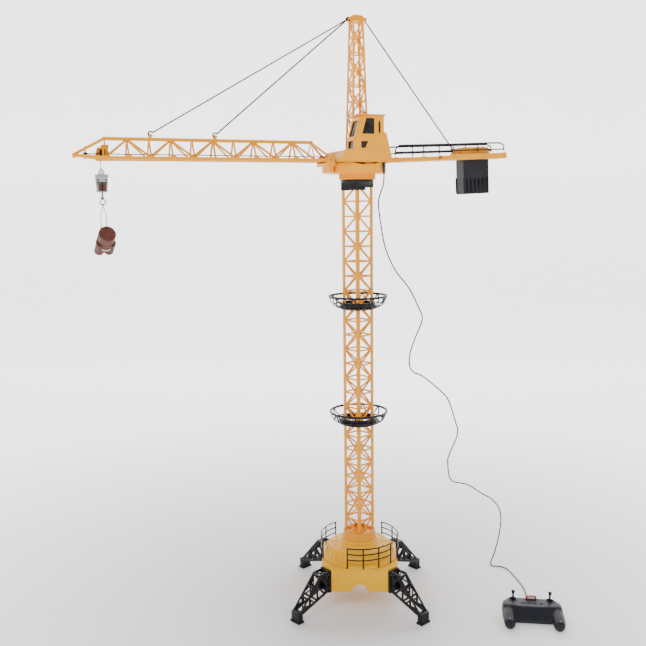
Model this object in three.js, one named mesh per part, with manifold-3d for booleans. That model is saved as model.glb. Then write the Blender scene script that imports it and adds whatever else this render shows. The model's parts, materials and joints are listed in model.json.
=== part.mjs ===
// A wire-controlled toy tower crane, 1.28 m tall, standing on four truss legs with its handset beside it.
// Millimetres, +Z up. The tower stands upright on the floor at z = 0.
import * as THREE from 'three';
import { mergeVertices } from 'three/addons/utils/BufferGeometryUtils.js';
import Module from 'manifold-3d';

const wasm = await Module();
wasm.setup();

// ---------------------------------------------------------------- driving dimensions
const GAP = 0.3; // clearance between neighbouring pieces
const TOWER_X = 49.4; // tower axis, measured from the middle of the whole footprint
const TOWER_Y = 38.9;
const REST_SLEW = THREE.MathUtils.degToRad(204.5); // direction of the jib at rest

const PITCH = 32.4; // one lattice panel of the tower
const PANELS = 8; // panels in one tower section
const SECTION = PITCH * PANELS;
const TOWER_SIDE = 47.4; // outer side of the square tower
const TOWER_FOOT = 152; // height at which the lowest section starts
const PLATE = 3; // lattice plate thickness

const HOUSING_HALF = 84; // half size of the base housing
const HOUSING_CHAMFER = 22;
const HOUSING_LOW = 43;
const HOUSING_HIGH = 96;
const LEG_SEAT = 103.5; // radial distance of the leg mounting faces

const SLEW_LOW = 942.5; // underside of everything that slews
const RING_LOW = 955; // turntable ring
const RING_RADIUS = 62;
const DECK_LOW = 977;
const DECK_HIGH = 1001;
const DECK_NEAR = 57; // the cab side of the deck
const DECK_FAR = -48;

const HEAD_PITCH = 32.65; // one lattice panel of the mast head
const HEAD_LOW = DECK_HIGH + GAP;
const HEAD_TOP = 1268.7;
const HEAD_FOOT_SIDE = 38;
const HEAD_TOP_SIDE = 24.6;
const TOTAL_HEIGHT = 1280;

const JIB_LOW = 978.5; // underside of the bottom chords
const JIB_HIGH = 1022; // top of the top chord
const JIB_HALF_PANEL = 42.1;
const JIB_FIRST_NODE = 63.5; // first bottom node, from the tower axis
const JIB_ROOT = 63;
const PIN_X = 72; // the pin that holds the jib to its bracket
const PIN_Z = 981.8;
const JIB_SPLIT = JIB_FIRST_NODE + 6 * JIB_HALF_PANEL;
const JIB_END = JIB_FIRST_NODE + 11 * JIB_HALF_PANEL;
const JIB_TIP = 585;
const JIB_TIP_HEIGHT = 987.5;

const TROLLEY_X = 530; // trolley sheave centre at rest, at the outer end of its travel
const ROPE_X = 534.6; // hoist rope fall
const ROPE_R = 0.8;
const ROPE_TOP = 993; // height of the sheave's axle
const HOOK_TOP = 964;

const PULLEY_X = 562; // jib tip pulley
const PULLEY_Z = 990;
const LOOP_HALF = 4.5; // half the spacing of the rope's two runs

const COUNTER_TILT = THREE.MathUtils.degToRad(2.3); // the counter-jib rises a little outward
const COUNTER_PITCH = 69.2; // railing posts
const COUNTER_HALF = 27;

const HANDSET_X = 371; // from the tower axis
const HANDSET_Y = -112;
const HANDSET_TURN = THREE.MathUtils.degToRad(-5.5);
const HANDSET_TOP = 33;
const STICK_X = 39;
const STICK_Y = 18;
const BUTTON_PITCH = 12.6;

const CORD_R = 1.5;

// ---------------------------------------------------------------- materials
const finish = (color, roughness, metalness = 0) => ({ color, roughness, metalness });
const AMBER = finish(0xf5a623, 0.42);
const BRIGHT = finish(0xfbbf35, 0.4);
const BLACK = finish(0x1b1c22, 0.45);
const GLOSS_BLACK = finish(0x16171c, 0.28);
const SMOKED = finish(0x1c1714, 0.15);
const SILVER = finish(0xb9bcc0, 0.35, 0.6);
const STEEL = finish(0x8d9094, 0.35, 0.9);
const WHITE = finish(0xe9e6dd, 0.5);
const BARK = finish(0x8a4a32, 0.8);
const STRING = finish(0x232323, 0.7);

// ---------------------------------------------------------------- geometry helpers
const V = (x, y, z) => new THREE.Vector3(x, y, z);

function solid(geometry) {
  let bare = geometry.clone();
  bare.deleteAttribute('normal');
  bare.deleteAttribute('uv');
  bare = mergeVertices(bare, 1e-4);
  const vertProperties = new Float32Array(bare.attributes.position.array);
  const triVerts = new Uint32Array(bare.index.array);
  return new wasm.Manifold(new wasm.Mesh({ numProp: 3, vertProperties, triVerts }));
}

function geometryOf(manifold) {
  const mesh = manifold.getMesh();
  const geometry = new THREE.BufferGeometry();
  geometry.setAttribute('position', new THREE.BufferAttribute(mesh.vertProperties, 3));
  geometry.setIndex(new THREE.BufferAttribute(mesh.triVerts, 1));
  return geometry;
}

function join(...geometries) {
  return geometryOf(geometries.map(solid).reduce((sum, next) => sum.add(next)));
}

function cut(geometry, ...tools) {
  return geometryOf(tools.map(solid).reduce((rest, tool) => rest.subtract(tool), solid(geometry)));
}

function common(geometry, other) {
  return geometryOf(solid(geometry).intersect(solid(other)));
}

function box(x0, x1, y0, y1, z0, z1) {
  const geometry = new THREE.BoxGeometry(x1 - x0, y1 - y0, z1 - z0);
  return geometry.translate((x0 + x1) / 2, (y0 + y1) / 2, (z0 + z1) / 2);
}

// a rectangular bar from a to b; `side` is the direction of its width
function bar(a, b, width, depth, side) {
  const along = b.clone().sub(a);
  const length = along.length();
  along.normalize();
  const depthWay = along.clone().cross(side).normalize();
  const widthWay = depthWay.clone().cross(along).normalize();
  const turn = new THREE.Matrix4().makeBasis(along, depthWay.negate(), widthWay);
  const geometry = new THREE.BoxGeometry(length, depth, width);
  return geometry.applyMatrix4(turn).translate((a.x + b.x) / 2, (a.y + b.y) / 2, (a.z + b.z) / 2);
}

// a round rod from a to b
function rod(a, b, radius, sides = 10, endRadius = radius) {
  const along = b.clone().sub(a);
  const geometry = new THREE.CylinderGeometry(endRadius, radius, along.length(), sides);
  geometry.applyQuaternion(new THREE.Quaternion().setFromUnitVectors(V(0, 1, 0), along.normalize()));
  return geometry.translate((a.x + b.x) / 2, (a.y + b.y) / 2, (a.z + b.z) / 2);
}

// a solid of revolution about +Z from [radius, z] points
function lathe(profile, sides = 24) {
  const points = profile.map(([radius, z]) => new THREE.Vector2(radius, z));
  return new THREE.LatheGeometry(points, sides).rotateX(Math.PI / 2);
}

// a closed outline, always counter-clockwise so that holes can be added to it
function outline(points) {
  const corners = points.map(([x, y]) => new THREE.Vector2(x, y));
  return new THREE.Shape(THREE.ShapeUtils.isClockWise(corners) ? corners.reverse() : corners);
}

function plate(shape, thickness) {
  return new THREE.ExtrudeGeometry(shape, { depth: thickness, bevelEnabled: false, curveSegments: 5 });
}

// an outline in the x-z plane, extruded from y0 to y1
function slab(points, y0, y1) {
  const shape = points instanceof THREE.Shape ? points : outline(points);
  return plate(shape, y1 - y0).rotateX(Math.PI / 2).translate(0, y1, 0);
}

// a tube along a smooth curve
function tube(points, radius, sides, steps, closed = false) {
  const curve = new THREE.CatmullRomCurve3(points, closed, 'centripetal');
  const circle = new THREE.Shape();
  for (let i = 0; i < sides; i += 1) {
    const angle = (i * 2 * Math.PI) / sides;
    const step = i === 0 ? 'moveTo' : 'lineTo';
    circle[step](radius * Math.cos(angle), radius * Math.sin(angle));
  }
  circle.closePath();
  return new THREE.ExtrudeGeometry(circle, { steps, extrudePath: curve, bevelEnabled: false });
}

// points on an arc in the x-z plane
function arc(cx, cz, radius, from, to, count, y = 0) {
  const points = [];
  for (let i = 0; i <= count; i += 1) {
    const angle = THREE.MathUtils.degToRad(from + ((to - from) * i) / count);
    points.push(V(cx + radius * Math.cos(angle), y, cz + radius * Math.sin(angle)));
  }
  return points;
}

// A flat lattice: a plate with columns, one rung per panel and a zigzag brace.
// halfWidth(s) gives its half width at distance s along its length.
function lattice({ from, to, panels, halfWidth, column, rung, brace, firstSide }) {
  const at = (s) => halfWidth(s);
  const shape = outline([[-at(from), from], [at(from), from], [at(to), to], [-at(to), to]]);
  const step = (to - from) / panels;
  for (let i = 0; i < panels; i += 1) {
    const low = from + step * i + rung / 2;
    const high = from + step * (i + 1) - rung / 2;
    const side = i % 2 === 0 ? firstSide : -firstSide;
    const a = new THREE.Vector2(side * (at(low) - column), low);
    const b = new THREE.Vector2(-side * (at(high) - column), high);
    const along = b.clone().sub(a).normalize();
    for (const corner of [[a.x, high], [b.x, low]]) {
      const c = new THREE.Vector2(corner[0], corner[1]);
      const hole = [c];
      for (const end of [a, b]) {
        const edge = c.clone().sub(end).normalize();
        const inset = brace / 2 / Math.abs(along.cross(edge));
        hole.push(end.clone().addScaledVector(edge, inset));
      }
      shape.holes.push(new THREE.Path(hole));
    }
  }
  return shape;
}

const model = new THREE.Group();
const fixed = new THREE.Group(); // everything that stands still, about the tower axis
const slewing = new THREE.Group(); // the upper works: +X along the jib, +Y towards the cab
const counter = new THREE.Group(); // the tilted counter-jib
const handset = new THREE.Group();
fixed.position.set(TOWER_X, TOWER_Y, 0);
slewing.position.set(TOWER_X, TOWER_Y, 0);
slewing.rotation.z = REST_SLEW;
slewing.add(counter);
handset.position.set(TOWER_X + HANDSET_X, TOWER_Y + HANDSET_Y, 0);
handset.rotation.z = HANDSET_TURN;
model.add(fixed, slewing, handset);

function piece(parent, name, geometry, material, place = {}) {
  const mesh = new THREE.Mesh(geometry, new THREE.MeshStandardMaterial(material));
  mesh.name = name;
  mesh.position.set(place.x ?? 0, place.y ?? 0, place.z ?? 0);
  mesh.rotation.z = place.turn ?? 0;
  parent.add(mesh);
  return mesh;
}

// ---------------------------------------------------------------- base
function baseHousing() {
  const h = HOUSING_HALF;
  const c = h - HOUSING_CHAMFER;
  const ring = (inset) => outline([
    [-c + inset * 0.4, -h + inset], [c - inset * 0.4, -h + inset],
    [h - inset, -c + inset * 0.4], [h - inset, c - inset * 0.4],
    [c - inset * 0.4, h - inset], [-c + inset * 0.4, h - inset],
    [-h + inset, c - inset * 0.4], [-h + inset, -c + inset * 0.4],
  ]);
  const wall = 4;
  const shell = plate(ring(0), HOUSING_HIGH - HOUSING_LOW).translate(0, 0, HOUSING_LOW);
  const inside = plate(ring(wall), HOUSING_HIGH - HOUSING_LOW - wall).translate(0, 0, HOUSING_LOW - 1);
  const archRadius = 20;
  const archRise = -3;
  const arch = new THREE.CylinderGeometry(archRadius, archRadius, 3 * h, 20);
  arch.translate(0, 0, HOUSING_LOW + archRise);
  const sideArch = arch.clone().rotateZ(Math.PI / 2);
  return cut(shell, inside, arch, sideArch);
}

function baseDeck() {
  const low = HOUSING_HIGH + GAP;
  return lathe([
    [0, low], [86, low], [86, 100], [82, 103], [76, 104], [72, 119], [67, 124], [48, 127], [46, 131],
    [41, 131], [41, 138], [0, 138],
  ], 28);
}

function towerFootCollar() {
  const low = 138 + GAP;
  const inner = TOWER_SIDE / 2 + GAP;
  const body = lathe([[0, low], [38, low], [38, 142], [36.6, 143.5], [36.6, 152], [35.6, 156], [0, 156]], 28);
  const socket = box(-inner, inner, -inner, inner, TOWER_FOOT - GAP, 157).rotateZ(Math.PI / 4);
  return cut(body, socket, rod(V(0, 0, low - 1), V(0, 0, 153), 15, 20));
}

// One leg along +X: two lattice side plates, cross rungs, a mounting plate and a foot.
function leg() {
  const side = outline([
    [LEG_SEAT, 91], [132, 90.5], [189, 27], [196, 22], [186, 18], [113, 43], [LEG_SEAT, 42],
  ]);
  const holes = [
    [[110, 85], [128, 85.5], [116, 68]],
    [[109.5, 79], [112.5, 67], [109.5, 50]],
    [[114, 61], [131.5, 82], [138, 66], [120, 46]],
    [[124.5, 44], [141, 62.5], [140, 39.5]],
    [[144.5, 61.5], [160, 53], [144, 39]],
    [[147.5, 36.5], [162.5, 49], [162, 32]],
    [[166, 48], [179, 33.5], [166, 33]],
  ];
  holes.forEach((points) => side.holes.push(new THREE.Path(points.map(([x, y]) => new THREE.Vector2(x, y)))));
  const parts = [slab(side, 9.5, 12.5), slab(side, -12.5, -9.5)];
  const rungs = [[134, 87.3], [152, 67.3], [170, 47.2], [150, 32.6]];
  for (const [x, z] of rungs) {
    parts.push(box(x - 1.6, x + 1.6, -10, 10, z - 1.6, z + 1.6));
  }
  const zigzag = [[118, 89.5], [134, 87.3], [152, 67.3], [170, 47.2], [184, 31.6]];
  for (let i = 1; i < zigzag.length; i += 1) {
    const y = i % 2 === 0 ? 10 : -10;
    const from = V(zigzag[i - 1][0], -y, zigzag[i - 1][1]);
    const to = V(zigzag[i][0], y, zigzag[i][1]);
    parts.push(bar(from, to, 2.6, 2.6, V(0, 0, 1)));
  }
  parts.push(box(LEG_SEAT, 109, -15, 15, 42, 92));
  parts.push(box(185.5, 197.5, -12, 12, 0, 24));
  parts.push(box(183.5, 199.5, -14, 14, 0, 4));
  return join(...parts);
}

// A curved railing round the rim of the deck, from one azimuth to another (degrees, 0 towards -Y).
function baseRailing(from, to) {
  const radius = 87.9;
  const low = 97.5;
  const high = 143;
  const on = (degrees, z) => {
    const angle = THREE.MathUtils.degToRad(degrees - 90);
    return V(radius * Math.cos(angle), radius * Math.sin(angle), z);
  };
  const run = (z, a, b) => {
    const points = [];
    for (let i = 0; i <= 6; i += 1) {
      points.push(on(a + ((b - a) * i) / 6, z));
    }
    return tube(points, 1.5, 4, 6);
  };
  const parts = [run(high, from, to), run(high - 13, from, to), run(high - 26, from, to)];
  for (let i = 0; i <= 3; i += 1) {
    const azimuth = from + ((to - from) * i) / 3;
    parts.push(rod(on(azimuth, low), on(azimuth, high + 0.6), 1.55, 4));
  }
  return join(...parts);
}

piece(fixed, 'base_housing', baseHousing(), BRIGHT);
piece(fixed, 'base_deck', baseDeck(), BRIGHT);
piece(fixed, 'tower_foot_collar', towerFootCollar(), AMBER);
const LEGS = { leg_front_left: 225, leg_front_right: 315, leg_rear_left: 135, leg_rear_right: 45 };
for (const [name, degrees] of Object.entries(LEGS)) {
  piece(fixed, name, leg(), BLACK, { turn: THREE.MathUtils.degToRad(degrees) });
}
piece(fixed, 'railing_front', baseRailing(-18, 52), BLACK);
piece(fixed, 'railing_right', baseRailing(73, 143), BLACK);
piece(fixed, 'railing_left', baseRailing(-140, -70), BLACK);

// ---------------------------------------------------------------- tower
function towerSection() {
  const half = TOWER_SIDE / 2;
  const faces = [];
  for (let i = 0; i < 4; i += 1) {
    const shape = lattice({
      from: 0, to: SECTION - GAP, panels: PANELS, halfWidth: () => half,
      column: 6.5, rung: 3.2, brace: 3.2, firstSide: i % 2 === 0 ? -1 : 1,
    });
    faces.push(slab(shape, -half, -half + PLATE).rotateZ((-i * Math.PI) / 2));
  }
  return join(...faces);
}

// A service platform: a ring that hugs the tower corners, a wide rim and bowed struts in a zigzag between.
function platform() {
  const ring = lathe([[34, -7.5], [38, -7.5], [39, 7.5], [34, 7.5], [34, -7.5]], 16);
  const rim = lathe([[61.4, 18.5], [64.6, 18.5], [65, 23], [61.4, 23], [61.4, 18.5]], 20);
  const on = (angle, radius, z) => V(radius * Math.cos(angle), radius * Math.sin(angle), z);
  const parts = [ring, rim];
  const vees = 5;
  for (let i = 0; i < 2 * vees; i += 1) {
    const a = (i * Math.PI) / vees;
    const b = ((i + 1) * Math.PI) / vees;
    const inner = i % 2 === 0 ? a : b;
    const outer = i % 2 === 0 ? b : a;
    const middle = (inner + outer) / 2;
    const knee = on(middle, 54, 2);
    const side = on(middle, 1, -1);
    parts.push(bar(on(inner, 37, -4.5), knee, 2.4, 5, side), bar(knee, on(outer, 63, 20.5), 2.4, 5, side));
  }
  return join(...parts);
}

// The black cap on the tower: a square socket with a round neck on which the upper works turn.
function towerTopCollar() {
  const half = TOWER_SIDE / 2 + 1.2;
  const inner = TOWER_SIDE / 2 + GAP;
  const top = SLEW_LOW - 0.5;
  const high = TOWER_FOOT + 3 * SECTION + GAP;
  const body = join(
    box(-half, half, -half, half, 926, top),
    box(-half, 0, -half, half, 920, 927),
    rod(V(0, 0, 937), V(0, 0, top), 35.5, 24),
    rod(V(0, 0, top - 1), V(0, 0, 957.5), 16, 32),
  );
  return cut(body, box(-inner, inner, -inner, inner, 900, high), rod(V(0, 0, 900), V(0, 0, 960), 10, 24));
}

// A spur gear about +Z with plain trapezoid teeth.
function gear(teeth, pitchRadius, low, high, bore) {
  const module = (2 * pitchRadius) / teeth;
  const points = [];
  for (let i = 0; i < teeth; i += 1) {
    const middle = (i * 2 * Math.PI) / teeth;
    const quarter = (2 * Math.PI) / teeth / 4;
    const corners = [[-1.15, -1.2], [-0.42, 0.85], [0.42, 0.85], [1.15, -1.2]];
    for (const [swing, rise] of corners) {
      const radius = pitchRadius + rise * module;
      const angle = middle + swing * quarter;
      points.push([radius * Math.cos(angle), radius * Math.sin(angle)]);
    }
  }
  const shape = outline(points);
  if (bore > 0) {
    shape.holes.push(new THREE.Path().absarc(0, 0, bore, 0, 2 * Math.PI, true));
  }
  return plate(shape, high - low).translate(0, 0, low);
}

['lower', 'middle', 'upper'].forEach((level, i) => {
  const place = { z: TOWER_FOOT + i * SECTION, turn: Math.PI / 4 };
  piece(fixed, `tower_section_${level}`, towerSection(), AMBER, place);
});
piece(fixed, 'platform_lower', platform(), BLACK, { z: TOWER_FOOT + SECTION });
piece(fixed, 'platform_upper', platform(), BLACK, { z: TOWER_FOOT + 2 * SECTION });
piece(fixed, 'tower_top_collar', towerTopCollar(), BLACK, { turn: Math.PI / 4 });
const RING_TEETH = 32;
const PINION_TEETH = 8;
const RING_PITCH = 30;
const PINION_PITCH = (RING_PITCH * PINION_TEETH) / RING_TEETH;
piece(fixed, 'slewing_gear', gear(RING_TEETH, RING_PITCH, 958.4, 964.4, 12), WHITE, { turn: REST_SLEW });

// ---------------------------------------------------------------- turntable, deck and drives
function turntable() {
  const high = DECK_LOW - GAP;
  const pan = lathe([
    [16.6, SLEW_LOW], [39.5, SLEW_LOW], [39.5, SLEW_LOW + 2.5], [38, SLEW_LOW + 3], [38, RING_LOW],
    [RING_RADIUS, RING_LOW], [RING_RADIUS, high], [RING_RADIUS - 3.5, high], [RING_RADIUS - 3.5, 957.8],
    [16.6, 957.8], [16.6, SLEW_LOW],
  ], 30);
  const scoop = new THREE.CylinderGeometry(100, 100, 40, 60).translate(4, 60, high + 95);
  return cut(pan, scoop);
}

function deckHousing() {
  const side = [[62, DECK_LOW], [53, DECK_HIGH], [-51.3, DECK_HIGH], [-57.5, DECK_LOW]];
  const body = slab(side, DECK_FAR, DECK_NEAR);
  const wall = 2.5;
  const inside = slab(
    [[60, DECK_LOW - 1], [50.5, DECK_HIGH - wall], [-49, DECK_HIGH - wall], [-55.2, DECK_LOW - 1]],
    DECK_FAR + wall, DECK_NEAR - wall,
  );
  const ropeSlot = box(45, 70, -7.5, 7.5, 985, 996);
  return cut(body, inside, ropeSlot);
}

const CAB_SIDE = [
  [32.5, DECK_HIGH + GAP], [31.5, 1026], [18.5, 1071], [-36.5, 1071], [-36.5, 1038.5], [-42.4, 1037.5],
  [-51, DECK_HIGH + GAP],
];
const CAB_FAR = 21;
const SIDE_WINDOWS = [
  [[4.2, 1066.5], [-14.4, 1066.5], [-14.4, 1034.5], [13.4, 1034.5]],
  [[16.1, 1019.5], [-0.6, 1019.5], [6.2, 1005.5], [16.1, 1005.5]],
  [
    [-23.5, 1056], [-24.5, 1062], [-27, 1062], [-28.5, 1056],
    [-28.5, 1041], [-27, 1035.5], [-24.5, 1035.5], [-23.5, 1041],
  ],
];

function cabShell() {
  const wall = 2.4;
  const body = slab(CAB_SIDE, CAB_FAR, DECK_NEAR);
  const inside = slab([
    [29.9, 1000], [29, 1026], [16.5, 1068.6], [-34.1, 1068.6],
    [-34.1, 1036.4], [-40.5, 1035.2], [-48.6, 1000],
  ], CAB_FAR + wall, DECK_NEAR - wall);
  const sideCuts = SIDE_WINDOWS.map((points) => slab(points, CAB_FAR - 5, DECK_NEAR + 5));
  const upperFront = slab([[40, 1029], [10, 1029], [10, 1061], [40, 1061]], CAB_FAR + 4.5, DECK_NEAR - 4.5);
  const lowerFront = slab([[40, 1005], [26, 1005], [26, 1020], [40, 1020]], CAB_FAR + 4.5, DECK_NEAR - 4.5);
  return cut(body, inside, ...sideCuts, upperFront, lowerFront);
}

// The smoked window insert: a thin-walled box that lines the cab behind its window openings.
function cabWindowInsert() {
  const outer = slab([
    [29.4, 1003], [28.6, 1025.8], [16.2, 1068.2], [-33.6, 1068.2], [-33.6, 1036], [-33.6, 1003],
  ], CAB_FAR + 2.8, DECK_NEAR - 2.8);
  const hollow = slab([
    [27.6, 1002], [26.8, 1025.5], [14.9, 1066.6], [-32, 1066.6], [-32, 1002],
  ], CAB_FAR + 4.4, DECK_NEAR - 4.4);
  return cut(outer, hollow);
}

function cabRoof() {
  const low = 1071 + GAP;
  const side = [[24, low], [24, low + 1.6], [22, low + 3], [-38.5, low + 3], [-40, low + 1.6], [-40, low]];
  return slab(side, 19, 59.5);
}

function motor(x, y0, y1, z, radius, shaftTo) {
  const way = Math.sign(shaftTo - y1) || 1;
  const near = way > 0 ? y1 : y0;
  return join(rod(V(x, y0, z), V(x, y1, z), radius, 16), rod(V(x, near - way, z), V(x, shaftTo, z), 1.5, 10));
}

function drum(x, y0, y1, z) {
  const core = rod(V(x, y0, z), V(x, y1, z), 5.5, 12);
  const flangeA = rod(V(x, y0, z), V(x, y0 + 1.5, z), 8.6, 16);
  const flangeB = rod(V(x, y1 - 1.5, z), V(x, y1, z), 8.6, 16);
  return cut(join(core, flangeA, flangeB), rod(V(x, y0 - 1, z), V(x, y1 + 1, z), 1.9, 8));
}

piece(slewing, 'turntable', turntable(), AMBER);
piece(slewing, 'deck_housing', deckHousing(), AMBER);
piece(slewing, 'cab_shell', cabShell(), AMBER);
piece(slewing, 'cab_window_insert', cabWindowInsert(), SMOKED);
piece(slewing, 'cab_roof', cabRoof(), AMBER);

const PINION_Y = -(RING_PITCH + PINION_PITCH);
piece(slewing, 'slewing_pinion', gear(PINION_TEETH, PINION_PITCH, 958.8, 964.8, 1.9), WHITE, {
  y: PINION_Y, turn: Math.PI / 2 + Math.PI / PINION_TEETH,
});
const slewMotor = join(
  rod(V(0, PINION_Y, 966.5), V(0, PINION_Y, 996), 7.4, 16),
  rod(V(0, PINION_Y, 958.2), V(0, PINION_Y, 967), 1.5, 10),
);
piece(slewing, 'slew_motor', slewMotor, SILVER);
const DRUM_X = 40;
const DRUM_Z = 988.5;
piece(slewing, 'hoist_drum', drum(DRUM_X, 2, 18, DRUM_Z), WHITE);
piece(slewing, 'trolley_drum', drum(DRUM_X, -18, -2, DRUM_Z), WHITE);
piece(slewing, 'hoist_motor', motor(DRUM_X, 22, 46, DRUM_Z, 8.5, 1.2), SILVER);
piece(slewing, 'trolley_motor', motor(DRUM_X, -44, -22, DRUM_Z, 8.5, -1.2), SILVER);

// The cord leaves the deck through a short tapered relief, just outside the turntable ring.
const EXIT_X = -37.5;
const EXIT_Y = 54;
const RELIEF_LOW = 950;
piece(slewing, 'cord_relief', rod(V(0, 0, RELIEF_LOW), V(0, 0, DECK_LOW - GAP), 1.9, 12, 3), GLOSS_BLACK, {
  x: EXIT_X, y: EXIT_Y,
});

// ---------------------------------------------------------------- mast head
function mastHead() {
  const rise = HEAD_TOP - HEAD_LOW;
  const halfAt = (z) => (HEAD_FOOT_SIDE + ((HEAD_TOP_SIDE - HEAD_FOOT_SIDE) * z) / rise) / 2;
  const lean = Math.atan((HEAD_FOOT_SIDE - HEAD_TOP_SIDE) / 2 / rise);
  const length = rise / Math.cos(lean);
  const lowest = length - 8 * HEAD_PITCH;
  const faces = [];
  for (let i = 0; i < 4; i += 1) {
    const shape = lattice({
      from: lowest, to: length, panels: 8, halfWidth: halfAt, column: 4, rung: 2.8, brace: 2.8,
      firstSide: i % 2 === 0 ? 1 : -1,
    });
    const face = slab(shape, 0, 2.6).rotateX(-lean).translate(0, -HEAD_FOOT_SIDE / 2, HEAD_LOW);
    faces.push(face.rotateZ((-i * Math.PI) / 2));
  }
  const foot = box(-19, 19, -19, 19, HEAD_LOW, HEAD_LOW + lowest + 3);
  const footHole = box(-15.5, 15.5, -15.5, 15.5, HEAD_LOW - 1, HEAD_LOW + lowest + 4);
  const cap = new THREE.CylinderGeometry(15, 19.5, TOTAL_HEIGHT - HEAD_TOP + 0.6, 4, 1, false, Math.PI / 4);
  cap.rotateX(Math.PI / 2).translate(0, 0, (TOTAL_HEIGHT + HEAD_TOP - 0.6) / 2);
  const ears = [];
  for (const x of [15.8, -15.8]) {
    ears.push(box(x - 5, x + 5, -8, -6.4, 1270, 1276), box(x - 5, x + 5, 6.4, 8, 1270, 1276));
    ears.push(rod(V(x + Math.sign(x) * 2.6, -7, 1273), V(x + Math.sign(x) * 2.6, 7, 1273), 1.2, 8));
  }
  return join(cut(foot, footHole), ...faces, cap, ...ears);
}
piece(slewing, 'mast_head', mastHead(), AMBER);

// ---------------------------------------------------------------- jib
const PEG_HEIGHT = 1028.5;
const PEG_OUTER = 440;
const PEG_INNER = 311;

function jibSides(from, to, panels, firstSide) {
  const foot = new THREE.Vector2(22.3, 981.7);
  const head = new THREE.Vector2(1.2, 1018.7);
  const height = foot.distanceTo(head);
  const lean = Math.atan((foot.x - head.x) / (head.y - foot.y));
  const sides = [];
  for (const way of [1, -1]) {
    const shape = lattice({
      from, to, panels, halfWidth: () => height / 2, column: 2.8, rung: 3, brace: 3.2, firstSide,
    });
    const side = plate(shape, PLATE).translate(0, 0, -PLATE / 2).rotateZ(-Math.PI / 2);
    side.rotateX(Math.PI / 2 + way * lean);
    side.translate(0, (way * (foot.x + head.x)) / 2, (foot.y + head.y) / 2);
    sides.push(side);
  }
  return sides;
}

function peg(x) {
  return [
    box(x - 2, x + 2, -5.5, -4, JIB_HIGH - 3, PEG_HEIGHT + 1.2),
    box(x - 2, x + 2, 4, 5.5, JIB_HIGH - 3, PEG_HEIGHT + 1.2),
    box(x - 2, x + 2, -5.5, 5.5, JIB_HIGH - 3, JIB_HIGH),
    rod(V(x, -5, PEG_HEIGHT), V(x, 5, PEG_HEIGHT), 1.2, 8),
  ];
}

function chords(from, to, topFrom, topTo) {
  return [
    box(from, to, 19.2, 25.4, JIB_LOW, JIB_LOW + 6.4),
    box(from, to, -25.4, -19.2, JIB_LOW, JIB_LOW + 6.4),
    box(topFrom, topTo, -3.2, 3.2, JIB_HIGH - 6.4, JIB_HIGH),
  ];
}

function gusset(x) {
  const flat = outline([[x - 9, 979.2], [x + 9, 979.2], [x + 4, 988], [x - 4, 988]]);
  return [slab(flat, 21.4, 25), slab(flat, -25, -21.4)];
}

function jibInner() {
  const firstTop = JIB_FIRST_NODE + JIB_HALF_PANEL;
  const end = JIB_SPLIT - GAP;
  const sides = jibSides(firstTop, end, 5, 1);
  const root = [V(firstTop + 1, 1018.5, 0), V(JIB_FIRST_NODE, 982, 0)];
  const diagonals = [1, -1].map((way) => bar(
    V(root[0].x, way * 1.5, root[0].y), V(root[1].x, way * 22.3, root[1].y), 4, 3.4, V(0, 1, 0),
  ));
  const parts = [...sides, ...diagonals, ...chords(JIB_ROOT, end, firstTop - 3, end), ...peg(PEG_INNER)];
  parts.push(box(JIB_ROOT, JIB_ROOT + 6, -20, 20, JIB_LOW, JIB_LOW + 6.4));
  [2, 4].forEach((i) => parts.push(...gusset(JIB_FIRST_NODE + i * JIB_HALF_PANEL)));
  return cut(join(...parts), rod(V(PIN_X, -30, PIN_Z), V(PIN_X, 30, PIN_Z), 2.2, 12));
}

function jibOuter() {
  const sides = jibSides(JIB_SPLIT, JIB_END, 5, -1);
  const tip = V(JIB_TIP, 0, JIB_TIP_HEIGHT);
  const parts = [...sides, ...chords(JIB_SPLIT, JIB_END + 3, JIB_SPLIT, JIB_END + 3), ...peg(PEG_OUTER)];
  [8, 10].forEach((i) => parts.push(...gusset(JIB_FIRST_NODE + i * JIB_HALF_PANEL)));
  parts.push(bar(V(JIB_END, 0, 1018.8), tip, 5, 5.4, V(0, 1, 0)));
  for (const way of [1, -1]) {
    parts.push(bar(V(JIB_END + 0.5, way * 22.3, JIB_LOW + 3.2), tip, 5, 5.4, V(0, 1, 0)));
  }
  const nose = [V(JIB_TIP - 6, 0, JIB_TIP_HEIGHT - 3), V(JIB_TIP + 1.5, 0, JIB_TIP_HEIGHT - 0.5)];
  parts.push(rod(nose[0], nose[1], 4, 10, 2.6));
  parts.push(rod(V(PULLEY_X, 0, 981), V(PULLEY_X, 0, 1004), 1.5, 10));
  parts.push(box(PULLEY_X - 3, PULLEY_X + 3, -10, 10, 980.4, 984));
  return join(...parts);
}

function tipPulley() {
  const wheel = lathe([
    [1.9, -2.2], [5.2, -2.2], [3.3, -1], [3.3, 1], [5.2, 2.2], [1.9, 2.2], [1.9, -2.2],
  ], 16);
  return wheel;
}

// The rope inside the jib runs out beside the trolley, round the tip pulley and back.
function jibRope() {
  const start = DRUM_X + 9.5;
  const far = PULLEY_X;
  const radius = LOOP_HALF;
  const bend = [];
  for (let i = 0; i <= 8; i += 1) {
    const angle = -Math.PI / 2 + (i * Math.PI) / 8;
    bend.push(V(far + radius * Math.cos(angle), radius * Math.sin(angle), PULLEY_Z));
  }
  const turn = tube(bend, 0.7, 8, 10);
  return join(
    rod(V(start, -LOOP_HALF, PULLEY_Z), V(far + 0.2, -LOOP_HALF, PULLEY_Z), 0.7, 8),
    rod(V(start, LOOP_HALF, PULLEY_Z), V(far + 0.2, LOOP_HALF, PULLEY_Z), 0.7, 8),
    turn,
  );
}

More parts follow.
